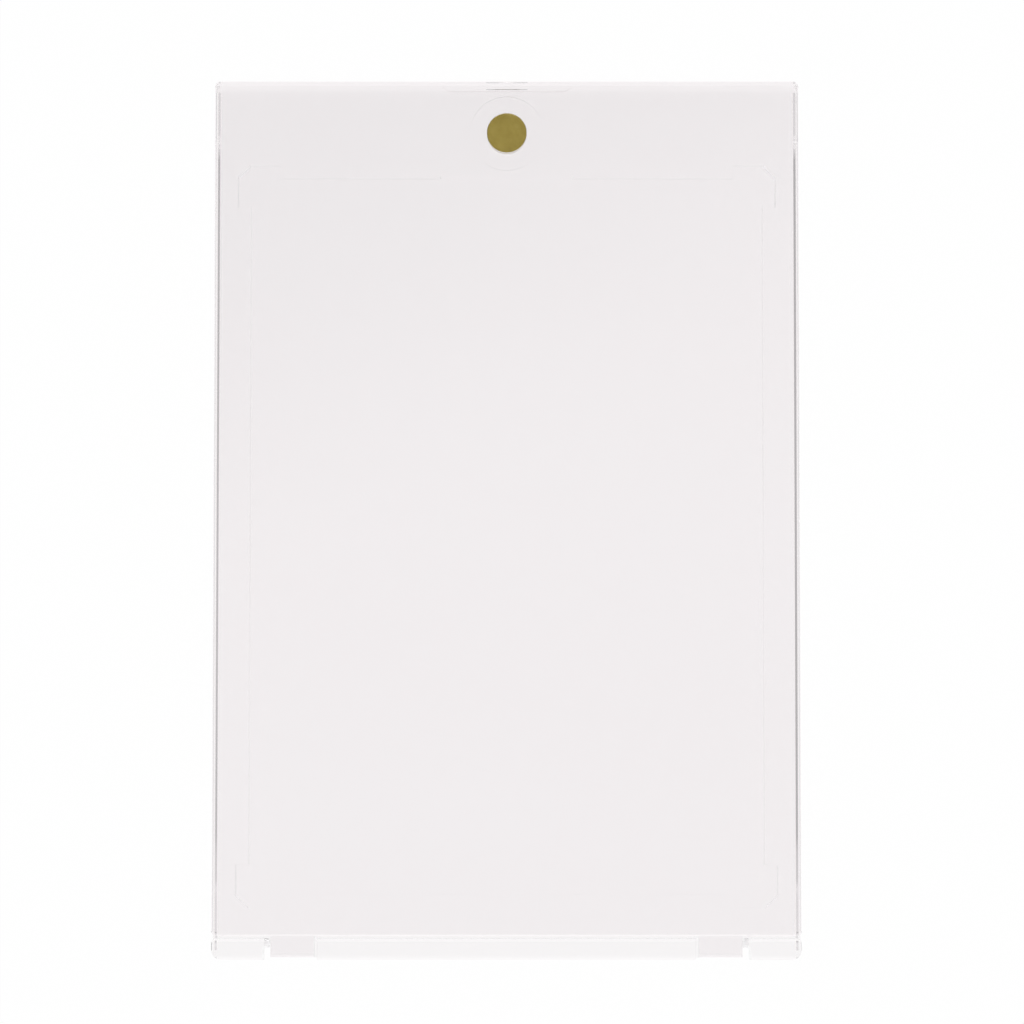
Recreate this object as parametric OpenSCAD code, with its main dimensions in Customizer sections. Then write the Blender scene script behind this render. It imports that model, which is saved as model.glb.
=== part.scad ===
// Clear two-half display case for one trading card, held shut by a pair of disc magnets.
// It lies on its back: X runs across, Y runs from the hinge end to the magnet end, Z out of the front.

/* [Card] */
// Width of the card the case is made for
card_w = 63.5; // [50:0.5:80]
// Length of the card the case is made for
card_l = 88.9; // [70:0.5:100]
// Free space beside the card, each side
card_gap = 0.55; // [0.2:0.05:0.8]
// Free space past the card, each end
card_end_gap = 0.7; // [0.2:0.05:1]

/* [Case] */
// Width of the closed case
case_w = 73.5; // [70:0.5:90]
// Length of the closed case, from hinge end to magnet end
case_l = 110.5; // [108:0.1:120]
// Thickness of the back half
base_t = 3.3; // [3:0.1:5]
// Thickness of the front half
cover_t = 3.25; // [3:0.05:5]
// Air left between the two halves
parting_gap = 0.05; // [0.02:0.01:0.1]
// Corner radius at the magnet end, seen from the front
top_corner_r = 0.9; // [0.5:0.1:2]
// Corner radius at the hinge end, seen from the front
bottom_corner_r = 1.2; // [0.5:0.1:1.5]

/* [Card recess] */
// Depth of the recess in the back half
recess_depth = 1.05; // [0.6:0.05:1.6]
// How far the recess sits towards the hinge from the middle
recess_shift = 2; // [1:0.1:2.5]
// How far each corner relief reaches past the recess walls
relief_out = 1.65; // [1:0.05:2]
// How far each corner relief runs along the recess walls
relief_run = 3.8; // [3:0.2:8]
// Cut across the outer corner of each relief
relief_chamfer = 1.6; // [0.8:0.1:2]
// Width of the thumb ramp at the magnet end of the recess
ramp_w = 16.8; // [12:0.2:24]
// Length of the thumb ramp
ramp_l = 0.5; // [0.3:0.1:1.5]

/* [Nail notch] */
// Width of the notch in the back half's end
notch_w = 16.3; // [12:0.1:24]
// How far the notch goes in from the end
notch_depth = 1; // [0.6:0.1:1.4]
// How far the notch goes down from the back half's inner face
notch_h = 1.4; // [0.8:0.1:2]

/* [Magnets] */
// Diameter of each magnet disc
magnet_d = 5; // [4:0.1:6]
// Thickness of each magnet disc
magnet_t = 1.1; // [0.8:0.1:1.5]
// Middle of the magnets, measured in from the magnet end
magnet_inset = 6.45; // [6:0.05:7]
// How far each magnet sits below its half's inner face
magnet_sink = 0.05; // [0.02:0.01:0.1]
// Glue film round and under each magnet
glue_film = 0.03; // [0.02:0.01:0.06]
// Diameter of the shallow glue well round each magnet
well_d = 9.4; // [8:0.1:10]
// Depth of the glue well
well_depth = 0.15; // [0.1:0.05:0.4]

/* [Hinge bar] */
// Depth of the solid bar at the hinge end
bar_l = 2.7; // [2.65:0.01:3]
// How far the bar's front face stays below the cover's
bar_drop = 0.1; // [0.05:0.05:0.2]
// Gap between the bar and the cover's end
bar_gap = 0.25; // [0.2:0.05:0.3]
// Rounding of the bar's edge beside the cover
bar_round = 0.6; // [0.5:0.05:0.8]
// Rounding of the cover's front edge beside the bar
cover_round = 0.5; // [0.3:0.05:0.6]
// Rounding of the cover's front edge at the magnet end
cover_top_round = 0.8; // [0.3:0.1:1]

/* [Hinge tabs] */
// Distance of each tab's middle from the case's middle
tab_x = 26.7; // [22:0.1:29]
// Width of each tab
tab_w = 5.4; // [4:0.1:6]
// How far the tabs and the ledges under them stop short of the hinge end
tab_short = 0.3; // [0.2:0.05:0.5]
// How far the tabs' front face stays below the cover's
tab_drop = 0.4; // [0.2:0.05:0.4]
// Rounding of the front edge at the tabs' ends
tab_round = 0.3; // [0.1:0.05:0.5]
// Side gap between tab and slot, towards the middle
slot_inner_gap = 0.4; // [0.2:0.1:0.8]
// Side gap between tab and slot, towards the outside
slot_outer_gap = 0.25; // [0.15:0.05:0.4]
// How much wider the outer gap flares at the hinge end
flare_w = 0.8; // [0.4:0.1:1.1]
// How far the flare runs in from the hinge end, right through the case
flare_l = 2; // [1.5:0.05:2.2]
// Gap between a tab's heel and the ledge under it
heel_gap = 0.35; // [0.2:0.05:0.6]
// Clearance between a swinging heel and its ledge
heel_clear = 0.1; // [0.05:0.05:0.15]

/* [Hinge pins] */
// Diameter of the stub pin on each tab
pin_d = 0.9; // [0.8:0.05:0.95]
// Pin axis, measured in from the hinge end
pin_inset = 1.95; // [1.9:0.01:2]
// Pin axis, measured down from the cover's front face
pin_drop = 0.9; // [0.87:0.01:0.95]
// How far each pin goes into its socket
pin_grip = 0.4; // [0.3:0.1:1.5]
// Running clearance round each pin
pin_clear = 0.05; // [0.02:0.01:0.1]
// Free space past the end of each pin
pin_end_gap = 0.1; // [0.1:0.05:0.4]

/* [View] */
// Piece to draw

/* [Hidden] */
$fn = 64;
eps = 0.5;
cover_z = base_t + parting_gap;
case_t = cover_z + cover_t;
top_y = case_l / 2;
end_y = -case_l / 2;
bar_y = end_y + bar_l;
bar_z = case_t - bar_drop;
cover_y = bar_y + bar_gap;
recess_w = card_w + 2 * card_gap;
recess_l = card_l + 2 * card_end_gap;
recess_z = base_t - recess_depth;
magnet_y = top_y - magnet_inset;
pocket_d = magnet_d + 2 * glue_film;
pocket_depth = magnet_sink + magnet_t + glue_film;
pin_y = end_y + pin_inset;
pin_z = case_t - pin_drop;
tab_y = end_y + tab_short;
ledge_z = cover_z - heel_gap;
heel_r = pin_z - ledge_z - heel_clear;
slot_in_x = tab_x - tab_w / 2 - slot_inner_gap;
tab_out_x = tab_x + tab_w / 2;
slot_out_x = tab_out_x + slot_outer_gap;
tab_z = case_t - tab_drop;

// Flat plate from y0 to y1 with its own corner radius at each end
module plate(w, y0, y1, t, r0, r1) {
    translate([-w / 2 + r0, y0, 0])
        cube([w - 2 * r0, y1 - y0 - r1, t]);
    translate([-w / 2, y0 + r0, 0])
        cube([w, y1 - y0 - r0 - r1, t]);
    translate([-w / 2 + r1, y1 - r1 - r0, 0])
        cube([w - 2 * r1, r1 + r0, t]);
    for (side = [-1, 1]) {
        translate([side * (w / 2 - r0), y0 + r0, 0])
            cylinder(r = r0, h = t);
        translate([side * (w / 2 - r1), y1 - r1, 0])
            cylinder(r = r1, h = t);
    }
}

// Tool that rounds a straight edge along X whose corner lies at the origin.
// dy and dz say which way the material lies from the edge.
module edge_rounder(length, r, dy, dz) {
    difference() {
        translate([-length / 2, min(dy * r, -dy * eps), min(dz * r, -dz * eps)])
            cube([length, r + eps, r + eps]);
        translate([-length / 2 - eps, dy * r, dz * r])
            rotate([0, 90, 0])
                cylinder(r = r, h = length + 2 * eps);
    }
}

// One corner relief of the card recess, drawn for the corner at +X and +Y
module corner_relief() {
    reach = relief_run + relief_out;
    translate([recess_w / 2 - relief_run, recess_l / 2 - relief_run, 0])
        linear_extrude(height = recess_depth + eps)
            polygon([
                [0, 0],
                [reach, 0],
                [reach, reach - relief_chamfer],
                [reach - relief_chamfer, reach],
                [0, reach]
            ]);
}

// Everything cut away for the card: recess, four corner reliefs and the thumb ramp
module card_recess() {
    translate([0, -recess_shift, recess_z]) {
        translate([-recess_w / 2, -recess_l / 2, 0])
            cube([recess_w, recess_l, recess_depth + eps]);
        for (mx = [0, 1])
            for (my = [0, 1])
                mirror([mx, 0, 0])
                    mirror([0, my, 0])
                        corner_relief();
        translate([-ramp_w / 2, recess_l / 2, 0])
            rotate([90, 0, 90])
                linear_extrude(height = ramp_w)
                    polygon([
                        [-1, 0],
                        [0, 0],
                        [ramp_l, recess_depth],
                        [ramp_l, recess_depth + eps],
                        [-1, recess_depth + eps]
                    ]);
    }
}

// Fingernail notch along the inner edge of the back half, with rounded ends
module nail_notch() {
    translate([-notch_w / 2 + notch_depth, top_y - notch_depth, base_t - notch_h])
        cube([notch_w - 2 * notch_depth, notch_depth + eps, notch_h + eps]);
    for (side = [-1, 1])
        translate([side * (notch_w / 2 - notch_depth), top_y, base_t - notch_h])
            cylinder(r = notch_depth, h = notch_h + eps);
}

// Pocket and glue well for one magnet, cut upwards from z = 0
module magnet_seat() {
    translate([0, magnet_y, -eps])
        cylinder(d = well_d, h = well_depth + eps);
    translate([0, magnet_y, -eps])
        cylinder(d = pocket_d, h = pocket_depth + eps);
}

// One hinge slot in the bar, drawn for the +X side
module hinge_slot() {
    slot_w = slot_out_x - slot_in_x;
    translate([slot_in_x, end_y - eps, ledge_z])
        cube([slot_w, bar_l + 2 * eps, case_t]);
    translate([slot_in_x, end_y - eps, -eps])
        cube([slot_w, tab_short + eps, case_t]);
    translate([0, end_y, -eps])
        linear_extrude(height = case_t + 2 * eps)
            polygon([
                [tab_out_x, -eps],
                [slot_out_x + flare_w, -eps],
                [slot_out_x + flare_w, 0],
                [slot_out_x + 0.95 * flare_w, 0.6 * flare_l],
                [slot_out_x + 0.75 * flare_w, 0.82 * flare_l],
                [slot_out_x, flare_l],
                [tab_out_x, flare_l]
            ]);
    translate([slot_out_x - eps, pin_y, pin_z])
        rotate([0, 90, 0])
            cylinder(d = pin_d + 2 * pin_clear, h = eps + pin_grip + pin_end_gap);
}

// Back half: card recess, full-thickness hinge bar, slots, pin sockets and nail notch
module base_shell() {
    color("gainsboro")
        difference() {
            union() {
                plate(case_w, end_y, top_y, base_t, bottom_corner_r, top_corner_r);
                plate(case_w, end_y, bar_y, bar_z, bottom_corner_r, bar_round);
            }
            card_recess();
            nail_notch();
            translate([0, 0, base_t])
                mirror([0, 0, 1])
                    magnet_seat();
            for (mx = [0, 1])
                mirror([mx, 0, 0])
                    hinge_slot();
            translate([0, bar_y, bar_z])
                edge_rounder(case_w + 2, bar_round, -1, -1);
            translate([0, end_y, bar_z])
                edge_rounder(case_w + 2, bar_round, 1, -1);
        }
}

// One hinge tab with its stub pin, drawn for the +X side
module hinge_tab() {
    translate([tab_x - tab_w / 2, 0, 0])
        difference() {
            intersection() {
                translate([0, tab_y, cover_z])
                    cube([tab_w, cover_y - tab_y + 1, tab_z - cover_z]);
                union() {
                    translate([-eps, pin_y, 0])
                        cube([tab_w + 2 * eps, 10, case_t + eps]);
                    translate([-eps, pin_y, pin_z])
                        rotate([0, 90, 0])
                            cylinder(r = heel_r, h = tab_w + 2 * eps);
                }
            }
            translate([tab_w / 2, tab_y, tab_z])
                edge_rounder(tab_w + 2, tab_round, 1, -1);
        }
    translate([tab_out_x - eps, pin_y, pin_z])
        rotate([0, 90, 0])
            cylinder(d = pin_d, h = eps + slot_outer_gap + pin_grip);
}

// Front half: flat window with two hinge tabs and its magnet pocket
module front_cover() {
    color("whitesmoke") {
        difference() {
            translate([0, 0, cover_z])
                plate(case_w, cover_y, top_y, cover_t, bar_round, top_corner_r);
            translate([0, 0, cover_z])
                magnet_seat();
            translate([0, cover_y, case_t])
                edge_rounder(case_w + 2, cover_round, 1, -1);
            translate([0, top_y, case_t])
                edge_rounder(case_w + 2, cover_top_round, -1, -1);
        }
        for (mx = [0, 1])
            mirror([mx, 0, 0])
                hinge_tab();
    }
}

// Magnet disc in the front half
module front_magnet() {
    color("goldenrod")
        translate([0, magnet_y, cover_z + magnet_sink])
            cylinder(d = magnet_d, h = magnet_t);
}

// Magnet disc in the back half
module rear_magnet() {
    color("goldenrod")
        translate([0, magnet_y, base_t - magnet_sink - magnet_t])
            cylinder(d = magnet_d, h = magnet_t);
}

base_shell();
front_cover();
front_magnet();
rear_magnet();
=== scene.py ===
import math
import bmesh
import bpy
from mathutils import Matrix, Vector


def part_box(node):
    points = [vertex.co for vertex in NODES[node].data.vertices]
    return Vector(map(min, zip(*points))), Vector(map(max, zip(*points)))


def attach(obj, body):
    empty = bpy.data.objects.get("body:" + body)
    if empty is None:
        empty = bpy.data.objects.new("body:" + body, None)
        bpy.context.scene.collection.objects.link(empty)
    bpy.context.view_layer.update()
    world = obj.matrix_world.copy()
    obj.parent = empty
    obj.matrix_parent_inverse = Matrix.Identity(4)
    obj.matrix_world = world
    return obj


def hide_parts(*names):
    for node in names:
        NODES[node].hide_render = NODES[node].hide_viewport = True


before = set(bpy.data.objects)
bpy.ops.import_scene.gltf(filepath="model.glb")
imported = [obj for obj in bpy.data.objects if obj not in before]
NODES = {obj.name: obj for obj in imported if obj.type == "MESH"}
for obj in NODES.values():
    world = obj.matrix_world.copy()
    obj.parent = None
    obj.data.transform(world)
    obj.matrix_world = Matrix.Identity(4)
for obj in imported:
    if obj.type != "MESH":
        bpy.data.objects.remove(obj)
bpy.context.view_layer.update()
MM = 0.001

# Small helpers


def new_material(name):
    m = bpy.data.materials.new(name)
    m.use_nodes = True
    nt = m.node_tree
    nt.nodes.clear()
    return m, nt


def add(nt, kind, **values):
    """A new node; each value goes to the input of that name, or else to the property."""
    n = nt.nodes.new(kind)
    for key, value in values.items():
        if key in n.inputs:
            n.inputs[key].default_value = value
        else:
            setattr(n, key, value)
    return n


def link(nt, a, out, b, inp):
    """Joins two nodes; the sockets are given by name or by number."""
    nt.links.new(a.outputs[out], b.inputs[inp])


def feed(nt, node, inp, given):
    """Gives an input a number, or links it to a pair of a node and its output."""
    if isinstance(given, tuple):
        link(nt, *given, node, inp)
    else:
        node.inputs[inp].default_value = given


def reckon(nt, operation, *operands):
    """A maths node with its operands, as feed takes them."""
    n = add(nt, "ShaderNodeMath", operation=operation)
    for i, operand in enumerate(operands):
        feed(nt, n, i, operand)
    return n


def mix_numbers(nt, share, first, second):
    """A blend of two numbers, as feed takes them."""
    n = add(nt, "ShaderNodeMix", data_type="FLOAT")
    for i, given in ((0, share), (2, first), (3, second)):
        feed(nt, n, i, given)
    return n


def mix_shaders(nt, share, first, second):
    """A blend of two shader nodes; the share is a node whose first output is used."""
    n = add(nt, "ShaderNodeMixShader")
    link(nt, share, 0, n, 0)
    link(nt, first, 0, n, 1)
    link(nt, second, 0, n, 2)
    return n


def map_range(nt, source, output, given, wanted=(0.0, 1.0), smooth=False):
    """Maps the given range of an output to the wanted one and holds it there at both ends."""
    n = add(nt, "ShaderNodeMapRange", interpolation_type="SMOOTHSTEP" if smooth else "LINEAR")
    for label, value in zip(("From Min", "From Max", "To Min", "To Max"), (*given, *wanted)):
        n.inputs[label].default_value = value
    link(nt, source, output, n, "Value")
    return n


def ramp(nt, stops, interpolation="LINEAR"):
    r = nt.nodes.new("ShaderNodeValToRGB")
    r.color_ramp.interpolation = interpolation
    while len(r.color_ramp.elements) < len(stops):
        r.color_ramp.elements.new(0.5)
    for e, (pos, col) in zip(r.color_ramp.elements, stops):
        e.position = pos
        e.color = (*col, 1.0)
    return r


def grey(level):
    return (level,) * 3


# Materials

WHITE = (1.0, 1.0, 1.0)
CLEAR_IOR = 1.49
# Light mirrored inside the clear plates more often than this is let out with a grey tint,
# because the renderer would otherwise end it as black
TRAPPED_AFTER = 2.5
ESCAPE_TINT = (0.79, 0.805, 0.80)
# The flow streaks of the clear plastic: their slant, how fine they are on each axis, and the
# stretch of the noise over which the tint changes
FLOW_SLANT = (0.0, 0.0, math.radians(-38))
FLOW_SCALE = (9.0, 30.0, 9.0)
TINT_FROM, TINT_TO = 0.35, 0.65
SMUDGE_NOISE = (0.45, 0.75)
SMUDGE_ROUGHNESS = (0.0, 0.012)
SATIN_TRANSMISSION = 0.25
GOLD_PATCH_SHARE = 0.35
GOLD_ROUGHNESS = (0.38, 0.55)
GOLD_DARK = (0.346, 0.266, 0.053)
GOLD_MIDDLE = (0.417, 0.326, 0.072)
GOLD_PALE = (0.474, 0.377, 0.098)
PAPER_TOOTH = 0.997
FLOOR_LIFT = 0.96


def passing(nt, light):
    """1 for shadow and diffuse rays, which go straight through the clear parts."""
    return reckon(nt, "MAXIMUM", (light, "Is Shadow Ray"), (light, "Is Diffuse Ray"))


def clear_plastic(name, tint_a, tint_b, seed, straight=0.0, through_tint=WHITE):
    """Clear plastic with faint flow streaks in its tint and faint smudges in its gloss.

    The straight share of the light passes without being bent, for walls that hardly show,
    and through_tint colours it. Light trapped inside is let out with ESCAPE_TINT.
    """
    m, nt = new_material(name)
    coords = add(nt, "ShaderNodeTexCoord")
    streaks = add(nt, "ShaderNodeMapping")
    streaks.inputs["Location"].default_value = (seed, seed * 0.7, 0.0)
    streaks.inputs["Rotation"].default_value = FLOW_SLANT
    streaks.inputs["Scale"].default_value = FLOW_SCALE
    link(nt, coords, "Object", streaks, "Vector")
    flow = add(nt, "ShaderNodeTexNoise", Scale=1.0, Detail=3.0, Roughness=0.5)
    link(nt, streaks, "Vector", flow, "Vector")
    tint = ramp(nt, [(TINT_FROM, tint_a), (TINT_TO, tint_b)])
    link(nt, flow, "Fac", tint, "Fac")
    smudge = add(nt, "ShaderNodeTexNoise", Scale=55.0, Detail=4.0, Roughness=0.6)
    link(nt, coords, "Object", smudge, "Vector")
    gloss = map_range(nt, smudge, "Fac", SMUDGE_NOISE, SMUDGE_ROUGHNESS)

    body = add(nt, "ShaderNodeBsdfPrincipled", IOR=CLEAR_IOR)
    body.inputs["Transmission Weight"].default_value = 1.0
    link(nt, tint, "Color", body, "Base Color")
    link(nt, gloss, "Result", body, "Roughness")
    through = add(nt, "ShaderNodeBsdfTransparent", Color=(*through_tint, 1.0))
    escape = add(nt, "ShaderNodeBsdfTransparent", Color=(*ESCAPE_TINT, 1.0))

    light = add(nt, "ShaderNodeLightPath")
    share = reckon(nt, "MAXIMUM", (passing(nt, light), "Value"), straight)
    trapped = reckon(nt, "GREATER_THAN", (light, "Glossy Depth"), TRAPPED_AFTER)
    plain = mix_shaders(nt, share, body, through)
    finished = mix_shaders(nt, trapped, plain, escape)
    out = add(nt, "ShaderNodeOutputMaterial")
    link(nt, finished, "Shader", out, "Surface")
    return m


def satin_plastic(name, tint_a, tint_b):
    """The same plastic with a fine frosted finish, on small faces the mould leaves unpolished."""
    m, nt = new_material(name)
    coords = add(nt, "ShaderNodeTexCoord")
    frost = add(nt, "ShaderNodeTexNoise", Scale=1500.0, Detail=3.0, Roughness=0.6)
    link(nt, coords, "Object", frost, "Vector")
    tint = ramp(nt, [(TINT_FROM, tint_a), (TINT_TO, tint_b)])
    link(nt, frost, "Fac", tint, "Fac")
    body = add(nt, "ShaderNodeBsdfPrincipled", IOR=CLEAR_IOR, Roughness=0.5)
    body.inputs["Transmission Weight"].default_value = SATIN_TRANSMISSION
    link(nt, tint, "Color", body, "Base Color")
    through = add(nt, "ShaderNodeBsdfTransparent", Color=(*WHITE, 1.0))
    light = add(nt, "ShaderNodeLightPath")
    finished = mix_shaders(nt, passing(nt, light), body, through)
    out = add(nt, "ShaderNodeOutputMaterial")
    link(nt, finished, "Shader", out, "Surface")
    return m


def gold_plating(name, seed):
    """Satin gold plating on a pressed disc: a fine grain and a few duller patches."""
    m, nt = new_material(name)
    coords = add(nt, "ShaderNodeTexCoord")
    shift = add(nt, "ShaderNodeMapping")
    shift.inputs["Location"].default_value = (seed, seed, seed)
    link(nt, coords, "Object", shift, "Vector")
    grain = add(nt, "ShaderNodeTexNoise", Scale=900.0, Detail=5.0, Roughness=0.6)
    patch = add(nt, "ShaderNodeTexNoise", Scale=260.0, Detail=2.0, Roughness=0.5)
    for noise in (grain, patch):
        link(nt, shift, "Vector", noise, "Vector")
    both = mix_numbers(nt, GOLD_PATCH_SHARE, (grain, "Fac"), (patch, "Fac"))
    colour = ramp(nt, [(0.3, GOLD_DARK), (0.55, GOLD_MIDDLE), (0.75, GOLD_PALE)])
    link(nt, both, 0, colour, "Fac")
    rough = map_range(nt, patch, "Fac", (0.0, 1.0), GOLD_ROUGHNESS)
    bump = add(nt, "ShaderNodeBump", Strength=0.15, Distance=0.02 * MM)
    link(nt, grain, "Fac", bump, "Height")
    body = add(nt, "ShaderNodeBsdfPrincipled", Metallic=0.55)
    link(nt, colour, "Color", body, "Base Color")
    link(nt, rough, "Result", body, "Roughness")
    link(nt, bump, "Normal", body, "Normal")
    out = add(nt, "ShaderNodeOutputMaterial")
    link(nt, body, "BSDF", out, "Surface")
    return m


def floor_white(name, level):
    """White paper, lifted most of the way to plain white where camera, glass and metal see it."""
    m, nt = new_material(name)
    coords = add(nt, "ShaderNodeTexCoord")
    paper = add(nt, "ShaderNodeTexNoise", Scale=40.0, Detail=3.0)
    link(nt, coords, "Object", paper, "Vector")
    tone = ramp(nt, [(0.3, grey(level * PAPER_TOOTH)), (0.7, grey(level))])
    link(nt, paper, "Fac", tone, "Fac")
    body = add(nt, "ShaderNodeBsdfDiffuse", Roughness=0.0)
    link(nt, tone, "Color", body, "Color")
    white = add(nt, "ShaderNodeEmission", Color=(*WHITE, 1.0), Strength=1.0)
    light = add(nt, "ShaderNodeLightPath")
    direct = reckon(nt, "MAXIMUM", (light, "Is Camera Ray"), (light, "Is Glossy Ray"))
    seen = reckon(nt, "MAXIMUM", (direct, "Value"), (light, "Is Transmission Ray"))
    lifted = reckon(nt, "MULTIPLY", (seen, "Value"), FLOOR_LIFT)
    finished = mix_shaders(nt, lifted, body, white)
    out = add(nt, "ShaderNodeOutputMaterial")
    link(nt, finished, "Shader", out, "Surface")
    return m


WALL_TINT = (0.965, 0.955, 0.958)
# The tints of the recess walls are darker than the base's: painted shade, which draws the dark
# lines of the walls. The flow streaks run between each pair.
SHADED_WALL_A, SHADED_WALL_B = (0.93, 0.91, 0.92), (0.95, 0.93, 0.94)
SHADED_END_WALL_A, SHADED_END_WALL_B = (0.95, 0.93, 0.94), (0.97, 0.95, 0.96)
base_clear = clear_plastic(
    "clear_plastic_base", (0.969, 0.951, 0.955), (0.973, 0.955, 0.960), 0.0)
shaded_side_wall = clear_plastic(
    "clear_plastic_side_walls_painted_shade", SHADED_WALL_A, SHADED_WALL_B, 5.3, 0.66, WALL_TINT)
shaded_relief_wall = clear_plastic(
    "clear_plastic_relief_walls_painted_shade", SHADED_WALL_A, SHADED_WALL_B, 2.2, 0.4, WALL_TINT)
shaded_end_wall = clear_plastic(
    "clear_plastic_end_walls_painted_shade", SHADED_END_WALL_A, SHADED_END_WALL_B, 7.9, 0.92, WALL_TINT)
satin_clear = satin_plastic("satin_plastic", (0.95, 0.94, 0.945), (1.0, 0.99, 0.995))
cover_clear = clear_plastic(
    "clear_plastic_cover", (0.998, 0.980, 0.986), (1.0, 0.985, 0.991), 3.1)
front_gold = gold_plating("gold_plating_front", 0.0)
rear_gold = gold_plating("gold_plating_rear", 1.7)

# Clear mouldings

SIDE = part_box("base_shell")[1].x
COVER_LO, COVER_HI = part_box("front_cover")
PARTING = 3.3 * MM
NEAR = 0.02 * MM
WELD = 1e-6
SAME_PLANE = math.radians(0.5)
# Limits on one part of a face's normal: square on, lying flat, facing one way, a wall
SQUARE_ON = 0.99
LYING = 0.7
FACING = 0.5
WALL_LEAN = 0.2
# The foot of the back face: how far it stands in, its width and its slope, left (-1) and right (1)
LEDGE_W = 0.19 * MM
FOOT_W = {-1: 0.24 * MM, 1: 0.27 * MM}
FOOT_SLOPE = {-1: math.radians(45.655), 1: math.radians(45.535)}
RIM_R = 0.2 * MM
RIM_STEPS = 5
RECESS_Z = 2.25 * MM
RECESS_DRAFT = 0.1 * MM
NICK_Y = 54.38 * MM
NICK_HALF = 2.6 * MM
NICK_RUN = 0.06 * MM
NICK_SLOPE = math.radians(50)
NICK_CUT = 1e-7


def welded(node):
    """A bmesh of a CAD node with its loose triangles joined and its flat faces made whole."""
    bm = bmesh.new()
    bm.from_mesh(NODES[node].data)
    bmesh.ops.remove_doubles(bm, verts=bm.verts, dist=WELD)
    bmesh.ops.dissolve_limit(
        bm, angle_limit=SAME_PLANE, verts=bm.verts, edges=bm.edges, delimit={"NORMAL"})
    bm.normal_update()
    return bm


def moulding(name, node, body, materials, finish_edges, finish_of):
    """The visible half: the CAD solid with its edges finished and the finish of each face set."""
    bm = welded(node)
    finish_edges(bm)
    mesh = bpy.data.meshes.new(name)
    bm.to_mesh(mesh)
    bm.free()
    o = bpy.data.objects.new(name, mesh)
    bpy.context.scene.collection.objects.link(o)
    mesh.shade_flat()
    for material in materials:
        mesh.materials.append(material)
    for f in mesh.polygons:
        f.material_index = materials.index(finish_of(f.center / MM, f.normal))
    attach(o, body)
    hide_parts(node)


def is_wall(normal):
    return abs(normal.z) < WALL_LEAN


def is_long_side(e, side, level):
    """True for the long straight edge of one side and level; the short corner arcs are not."""
    flat = all(abs(v.co.z - level) < NEAR for v in e.verts)
    outermost = all(SIDE - abs(v.co.x) < NEAR for v in e.verts)
    return flat and outermost and e.calc_length() > MM and side * e.verts[0].co.x > 0


def height_span(e):
    return abs(e.verts[0].co.z - e.verts[1].co.z)


def shape_edge(bm, side, level, section):
    """Gives one long side edge a new section with upright ends.

    The edge lies at x = side * SIDE and z = level. The section runs from the wall to the face,
    as pairs of the distance in from the wall and the distance in from the face.
    """
    edge = [e for e in bm.edges if is_long_side(e, side, level)][0]
    wall = max(edge.link_faces, key=lambda f: abs(f.normal.x))
    face = max(edge.link_faces, key=lambda f: abs(f.normal.z))
    inward = 1.0 if level < PARTING else -1.0
    corners = list(edge.verts)
    rows = []
    for v in corners:
        up = max((e for e in v.link_edges if e in wall.edges), key=height_span)
        rows.append([bmesh.utils.edge_split(up, v, section[0][1] / up.calc_length())[1]])
    bmesh.utils.face_split(wall, rows[0][0], rows[1][0])
    places = [Vector((side * (SIDE - section[-1][0]), v.co.y, level)) for v in corners]
    bmesh.utils.face_split(face, corners[0], corners[1], coords=places)
    strips = list(edge.link_faces)
    ring = [v for f in strips for v in f.verts]
    bmesh.ops.delete(bm, geom=strips, context="FACES_ONLY")
    bm.edges.remove(edge)
    for row, v, place in zip(rows, corners, places):
        for inset, depth in section[1:-1]:
            row.append(bm.verts.new((side * (SIDE - inset), v.co.y, level + inward * depth)))
        row.append(min(ring, key=lambda r: (r.co - place).length))
        bm.faces.new([v] + row)
    for i in range(len(section) - 1):
        bm.faces.new((rows[0][i], rows[1][i], rows[1][i + 1], rows[0][i + 1]))
    bmesh.ops.recalc_face_normals(bm, faces=bm.faces)


def draft_recess(bm):
    """Leans the recess walls: the outline of the card recess's floor moves in by the draft."""
    bm.normal_update()
    moves = {}
    for v in bm.verts:
        if abs(v.co.z - RECESS_Z) > NEAR:
            continue
        walls = []
        for f in v.link_faces:
            n = f.normal
            if is_wall(n) and all(n.dot(w) < SQUARE_ON for w in walls):
                walls.append(n.copy())
        if len(walls) == 1:
            moves[v] = walls[0] * RECESS_DRAFT
        elif len(walls) == 2:
            a, b = walls
            det = a.x * b.y - a.y * b.x
            moves[v] = Vector(((b.y - a.y), (a.x - b.x), 0.0)) * (RECESS_DRAFT / det)
    for v, move in moves.items():
        v.co += move
    bm.normal_update()


def back_edges(bm):
    """The back face stands on a low foot with sloping sides, a little in from the long walls."""
    for side in (-1, 1):
        rise = FOOT_W[side] * math.tan(FOOT_SLOPE[side])
        inner = LEDGE_W + FOOT_W[side]
        shape_edge(bm, side, 0.0, [(0.0, rise), (LEDGE_W, rise), (inner, 0.0)])
    draft_recess(bm)


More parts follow.
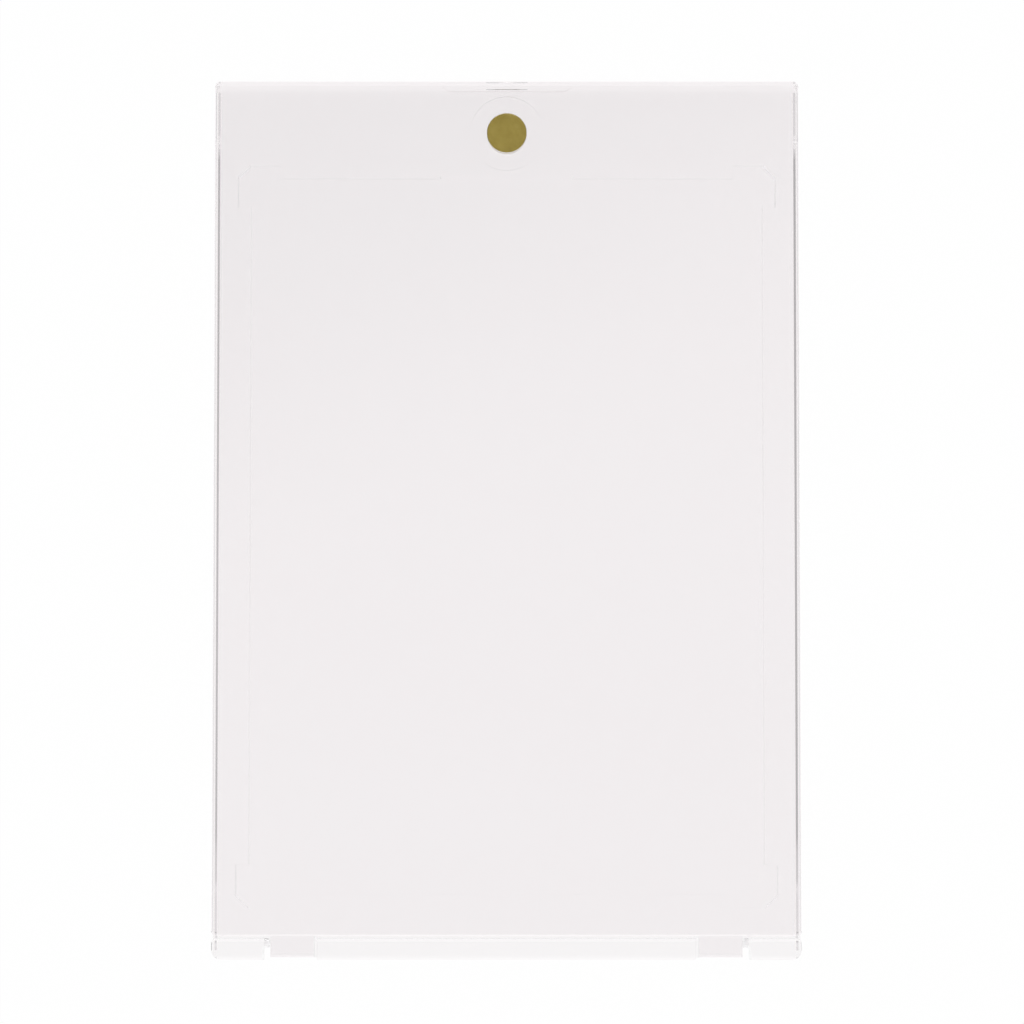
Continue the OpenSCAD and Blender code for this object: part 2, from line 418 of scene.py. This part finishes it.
def cut_nick(bm):
    """A fine nick in the parting face above the nail notch, which mirrors the magnet's side."""
    level = COVER_LO.z
    near_y, far_y = NICK_Y, NICK_Y + NICK_RUN
    ends = [
        Vector((-NICK_HALF, near_y, level)), Vector((NICK_HALF, near_y, level)),
        Vector((NICK_HALF, far_y, level)), Vector((-NICK_HALF, far_y, level)),
    ]
    along_x, along_y = (1, 0, 0), (0, 1, 0)
    cuts = ((ends[0], along_x), (ends[2], along_x), (ends[0], along_y), (ends[2], along_y))
    for point, direction in cuts:
        parting = [
            f for f in bm.faces
            if f.normal.z < -SQUARE_ON and all(abs(v.co.z - level) < NEAR for v in f.verts)
        ]
        edges = list({e for f in parting for e in f.edges})
        verts = list({v for f in parting for v in f.verts})
        bmesh.ops.bisect_plane(
            bm, geom=parting + edges + verts, dist=NICK_CUT, plane_co=point, plane_no=direction)
    middle = Vector((0.0, NICK_Y + NICK_RUN / 2, level))
    strip = min(
        (f for f in bm.faces if f.normal.z < -SQUARE_ON),
        key=lambda f: (f.calc_center_median() - middle).length)
    bmesh.ops.delete(bm, geom=[strip], context="FACES_ONLY")
    p = [min(bm.verts, key=lambda v: (v.co - end).length) for end in ends]
    rise = NICK_RUN * math.tan(NICK_SLOPE)
    left, right = [bm.verts.new((x, far_y, level + rise)) for x in (-NICK_HALF, NICK_HALF)]
    slope, step = (p[0], p[1], right, left), (left, right, p[2], p[3])
    for ring in (slope, step, (p[0], left, p[3]), (p[1], p[2], right)):
        bm.faces.new(ring)
    bmesh.ops.recalc_face_normals(bm, faces=bm.faces)


def front_edges(bm):
    """The cover's long front edges are rounded, and its parting face gets the nick."""
    turns = [math.pi / 2 * i / RIM_STEPS for i in range(RIM_STEPS + 1)]
    rim = [(RIM_R * (1 - math.cos(t)), RIM_R * (1 - math.sin(t))) for t in turns]
    for side in (-1, 1):
        shape_edge(bm, side, COVER_HI.z, rim)
    cut_nick(bm)


# Where the finish changes, in mm: ranges of the distance from the middle line, of y and of the
# height above the back face. MIDDLE is below any distance from the middle line.
MIDDLE = -1.0
CARD_RECESS = ((MIDDLE, 34.5), (-49.5, 45.5), (2.25, 3.29))
WELL_EDGE = ((MIDDLE, 20.0), (43.8, 45.5), (2.25, 3.29))
NOTCH_WALL = ((MIDDLE, 8.3), (54.2, 55.2), (1.95, 3.29))
PIN_SOCKETS = ((29.68, 30.3), (-53.95, -52.65), (5.0, 6.3))
STUB_PINS = ((29.42, 30.3), (-53.95, -52.65), (5.0, 6.3))
# The corner reliefs lie farther from the middle line than RELIEFS_FROM, and the two ends of the
# thumb ramp nearer than RAMP_WITHIN. The corner arcs at the magnet end lie beyond CORNER_X and
# CORNER_Y.
RELIEFS_FROM = 33
RAMP_WITHIN = 9
CORNER_X = 35.9
CORNER_Y = 54.36


def inside(c, region):
    """True where a face's middle c, in mm, lies inside a region."""
    return all(low < at < high for at, (low, high) in zip((abs(c.x), c.y, c.z), region))


def back_finish(c, n):
    """The finish of a face of the back half from its middle c, in mm, and its normal n."""
    across = abs(c.x)
    if inside(c, CARD_RECESS) and not inside(c, WELL_EDGE):
        faces_x = abs(n.x) > FACING
        if abs(n.z) > LYING:
            return base_clear
        if faces_x and (abs(n.y) > FACING or across < RAMP_WITHIN):
            return satin_clear
        # The other recess walls, and the notch wall below, take the plastic darkened with painted
        # shade
        if faces_x:
            return shaded_relief_wall if across > RELIEFS_FROM else shaded_side_wall
        return shaded_end_wall
    if inside(c, NOTCH_WALL):
        return shaded_end_wall
    if is_wall(n) and across > CORNER_X and c.y > CORNER_Y:
        return satin_clear
    if inside(c, PIN_SOCKETS):
        return satin_clear
    return base_clear


def front_finish(c, n):
    """The finish of a face of the cover: only the stub pins are left unpolished."""
    return satin_clear if inside(c, STUB_PINS) else cover_clear


back_finishes = (base_clear, shaded_side_wall, shaded_relief_wall, shaded_end_wall, satin_clear)
front_finishes = (cover_clear, satin_clear)
moulding("back_half", "base_shell", "base",
         back_finishes, back_edges, back_finish)
moulding("front_half", "front_cover", "cover",
         front_finishes, front_edges, front_finish)

# Magnets

# The section is turned round a ring of this radius and moved in by as much, so that it ends
# up on the axis
AXIS_RING = 0.001
DISC_RIM = 0.18 * MM
DISC_STEPS = 96
RIM_COUNT = 6
DISC_WELD = 2e-6


def set_choice(node, label, attribute, value):
    """Sets a node's mode, which some releases keep as a menu socket and others as a property."""
    if hasattr(node, attribute):
        setattr(node, attribute, value)
    else:
        node.inputs["Mode"].default_value = label


def disc_tree(material):
    """Geometry Nodes: a disc of any size with rounded rims, turned from half its section."""
    tree = bpy.data.node_groups.new("plated_disc", "GeometryNodeTree")
    face = tree.interface
    face.new_socket("Geometry", in_out="INPUT", socket_type="NodeSocketGeometry")
    for label in ("Radius", "Thickness", "Rim"):
        face.new_socket(label, in_out="INPUT", socket_type="NodeSocketFloat")
    face.new_socket("Centre", in_out="INPUT", socket_type="NodeSocketVector")
    face.new_socket("Geometry", in_out="OUTPUT", socket_type="NodeSocketGeometry")
    given = add(tree, "NodeGroupInput")
    above = reckon(tree, "MULTIPLY", (given, "Thickness"), 0.5)
    below = reckon(tree, "MULTIPLY", (given, "Thickness"), -0.5)

    # The four corners of half the section, and the curve through them
    corners = []
    for at_rim, level in ((False, below), (True, below), (True, above), (False, above)):
        corner = add(tree, "ShaderNodeCombineXYZ")
        if at_rim:
            link(tree, given, "Radius", corner, "X")
        link(tree, level, "Value", corner, "Y")
        corners.append(corner)
    start = add(tree, "GeometryNodeMeshLine", mode="OFFSET")
    start.inputs["Count"].default_value = len(corners)
    number = add(tree, "GeometryNodeInputIndex")
    pick = add(tree, "GeometryNodeIndexSwitch", data_type="VECTOR")
    while len(pick.index_switch_items) < len(corners):
        pick.index_switch_items.new()
    link(tree, number, 0, pick, "Index")
    for i, corner in enumerate(corners):
        link(tree, corner, 0, pick, 1 + i)
    place = add(tree, "GeometryNodeSetPosition")
    link(tree, start, 0, place, "Geometry")
    link(tree, pick, 0, place, "Position")
    section = add(tree, "GeometryNodeMeshToCurve")
    link(tree, place, 0, section, 0)
    rounded = add(tree, "GeometryNodeFilletCurve")
    set_choice(rounded, "Poly", "mode", "POLY")
    rounded.inputs["Count"].default_value = RIM_COUNT
    link(tree, section, 0, rounded, "Curve")
    link(tree, given, "Rim", rounded, "Radius")

    # The section is turned into the disc and put in its place
    path = add(tree, "GeometryNodeCurvePrimitiveCircle", mode="RADIUS")
    path.inputs["Resolution"].default_value = DISC_STEPS
    path.inputs["Radius"].default_value = AXIS_RING
    inward = add(tree, "GeometryNodeTransform")
    inward.inputs["Translation"].default_value = (-AXIS_RING, 0.0, 0.0)
    link(tree, rounded, 0, inward, "Geometry")
    lathe = add(tree, "GeometryNodeCurveToMesh")
    link(tree, path, 0, lathe, "Curve")
    link(tree, inward, 0, lathe, "Profile Curve")
    weld = add(tree, "GeometryNodeMergeByDistance")
    weld.inputs["Distance"].default_value = DISC_WELD
    link(tree, lathe, 0, weld, "Geometry")
    move = add(tree, "GeometryNodeTransform")
    link(tree, weld, 0, move, "Geometry")
    link(tree, given, "Centre", move, "Translation")
    real = add(tree, "GeometryNodeRealizeInstances")
    link(tree, move, 0, real, 0)
    finish = add(tree, "GeometryNodeSetMaterial")
    finish.inputs["Material"].default_value = material
    link(tree, real, 0, finish, "Geometry")
    out = add(tree, "NodeGroupOutput")
    link(tree, finish, 0, out, 0)
    return tree


def disc(name, node, body, material):
    """One magnet disc, made to the size and place of its CAD solid."""
    low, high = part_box(node)
    o = bpy.data.objects.new(name, bpy.data.meshes.new(name + "_start"))
    bpy.context.scene.collection.objects.link(o)
    mod = o.modifiers.new("lathe", "NODES")
    mod.node_group = disc_tree(material)
    items = mod.node_group.interface.items_tree
    sockets = {i.name: i.identifier for i in items if i.in_out == "INPUT"}
    mod[sockets["Radius"]] = (high.x - low.x) / 2
    mod[sockets["Thickness"]] = high.z - low.z
    mod[sockets["Rim"]] = DISC_RIM
    mod[sockets["Centre"]] = tuple((low + high) / 2)
    dg = bpy.context.evaluated_depsgraph_get()
    mesh = bpy.data.meshes.new_from_object(o.evaluated_get(dg))
    o.modifiers.clear()
    o.data = mesh
    mesh.name = name
    bm = bmesh.new()
    bm.from_mesh(mesh)
    bmesh.ops.recalc_face_normals(bm, faces=bm.faces)
    bm.to_mesh(mesh)
    bm.free()
    mesh.shade_flat()
    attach(o, body)
    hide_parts(node)


disc("front_disc", "front_magnet", "cover", front_gold)
disc("rear_disc", "rear_magnet", "base", rear_gold)

# Studio

FLOOR_SIZE = 4.0
FLOOR_GAP = 0.4 * MM
LEVEL = 0.86
HORIZON = LEVEL
SIDES = 0.95 * LEVEL
ENDS = 1.4 * LEVEL
OVERHEAD = 0.44
LEFT_CARD = 0.49
RIGHT_CARD = 0.55
# Parts of a direction: how far it points up, to the side, or along the case
CEILING_FROM, CEILING_FULL = 0.88, 0.95
SHADE_ALONG = (0.085, 0.168)
SHADE_UP = (0.93, 0.96)
SHADE_TURN = -0.35
BOXES_ALONG = (0.2, 0.6)
BOXES_UP = (0.05, 0.25)
CARDS_BESIDE = 0.9
BAND_HALF = 0.2
CARD_HEIGHTS = [(-0.2, 0.0), (0.0, 0.0), (0.004, 1.0), (0.036, 1.0), (0.05, 0.0)]
CARD_LENGTHS = [
    (0.004, 0.2), (0.0112, 0.25), (0.0119, 0.0), (0.0129, 0.0), (0.0137, 0.55),
    (0.0195, 0.6), (0.0215, 1.0), (0.1435, 1.0), (0.1462, 0.12),
]

bpy.ops.mesh.primitive_plane_add(size=FLOOR_SIZE, location=(0, 0, -FLOOR_GAP))
floor = bpy.context.object
floor.name = "floor"
floor.data.materials.append(floor_white("floor_white", 1.0))


def band(nt, source, output, points):
    """Soft steps on one part of the direction: a colour ramp from -BAND_HALF to BAND_HALF."""
    spread = map_range(nt, source, output, (-BAND_HALF, BAND_HALF))
    stops = [((at + BAND_HALF) / (2 * BAND_HALF), grey(level)) for at, level in points]
    window = ramp(nt, stops, "EASE")
    link(nt, spread, "Result", window, "Fac")
    return window


world = bpy.data.worlds.new("studio")
bpy.context.scene.world = world
world.use_nodes = True
wt = world.node_tree
wt.nodes.clear()
coords = add(wt, "ShaderNodeTexCoord")
split = add(wt, "ShaderNodeSeparateXYZ")
link(wt, coords, "Generated", split, "Vector")

# The dim ceiling round the camera, darker towards the magnet end
ceiling = ramp(wt, [(CEILING_FROM, WHITE), (CEILING_FULL, grey(OVERHEAD))])
link(wt, split, "Z", ceiling, "Fac")
turned = reckon(wt, "MULTIPLY_ADD", (split, "X"), SHADE_TURN, (split, "Y"))
towards = map_range(wt, turned, "Value", SHADE_ALONG, (1.0, 0.0), smooth=True)
near_top = map_range(wt, split, "Z", SHADE_UP)
dim = mix_numbers(wt, (near_top, "Result"), 1.0, (towards, "Result"))
overhead = reckon(wt, "MULTIPLY", (ceiling, "Color"), (dim, 0))

# A low grey card on each side, just above the floor, which draws the dark lines in the edges
low_card = band(wt, split, "Z", CARD_HEIGHTS)
long_card = band(wt, split, "Y", CARD_LENGTHS)
across = reckon(wt, "ABSOLUTE", (split, "X"))
beside = reckon(wt, "GREATER_THAN", (across, "Value"), CARDS_BESIDE)
card_area = reckon(wt, "MULTIPLY", (low_card, "Color"), (long_card, "Color"))
card_here = reckon(wt, "MULTIPLY", (card_area, "Value"), (beside, "Value"))
card_level = map_range(wt, split, "X", (-1.0, 1.0), (LEFT_CARD, RIGHT_CARD))

# The soft boxes: even near the horizon, brightest past the two ends of the case
along = reckon(wt, "ABSOLUTE", (split, "Y"))
boxes = map_range(wt, along, "Value", BOXES_ALONG, (SIDES, ENDS), smooth=True)
height = map_range(wt, split, "Z", BOXES_UP, smooth=True)
tent = mix_numbers(wt, (height, "Result"), HORIZON, (boxes, "Result"))
lit = reckon(wt, "MULTIPLY", (overhead, 0), (tent, 0))

strength = mix_numbers(wt, (card_here, 0), (lit, 0), (card_level, "Result"))
back = add(wt, "ShaderNodeBackground", Color=(*WHITE, 1.0))
link(wt, strength, 0, back, "Strength")
wout = add(wt, "ShaderNodeOutputWorld")
link(wt, back, "Background", wout, "Surface")

# Camera

CAMERA_PLACE = (0.00221, -0.055, 0.695)
CAMERA_TURN = (math.radians(4.623), math.radians(0.126), math.radians(0.018))

cam_data = bpy.data.cameras.new("camera")
cam = bpy.data.objects.new("camera", cam_data)
bpy.context.scene.collection.objects.link(cam)
cam.location = CAMERA_PLACE
cam.rotation_euler = CAMERA_TURN
cam_data.lens = 193.85
cam_data.sensor_width = 36.0
cam_data.clip_start = 0.01
cam_data.clip_end = 20.0
bpy.context.scene.camera = cam
bpy.context.scene.view_settings.view_transform = "Standard"
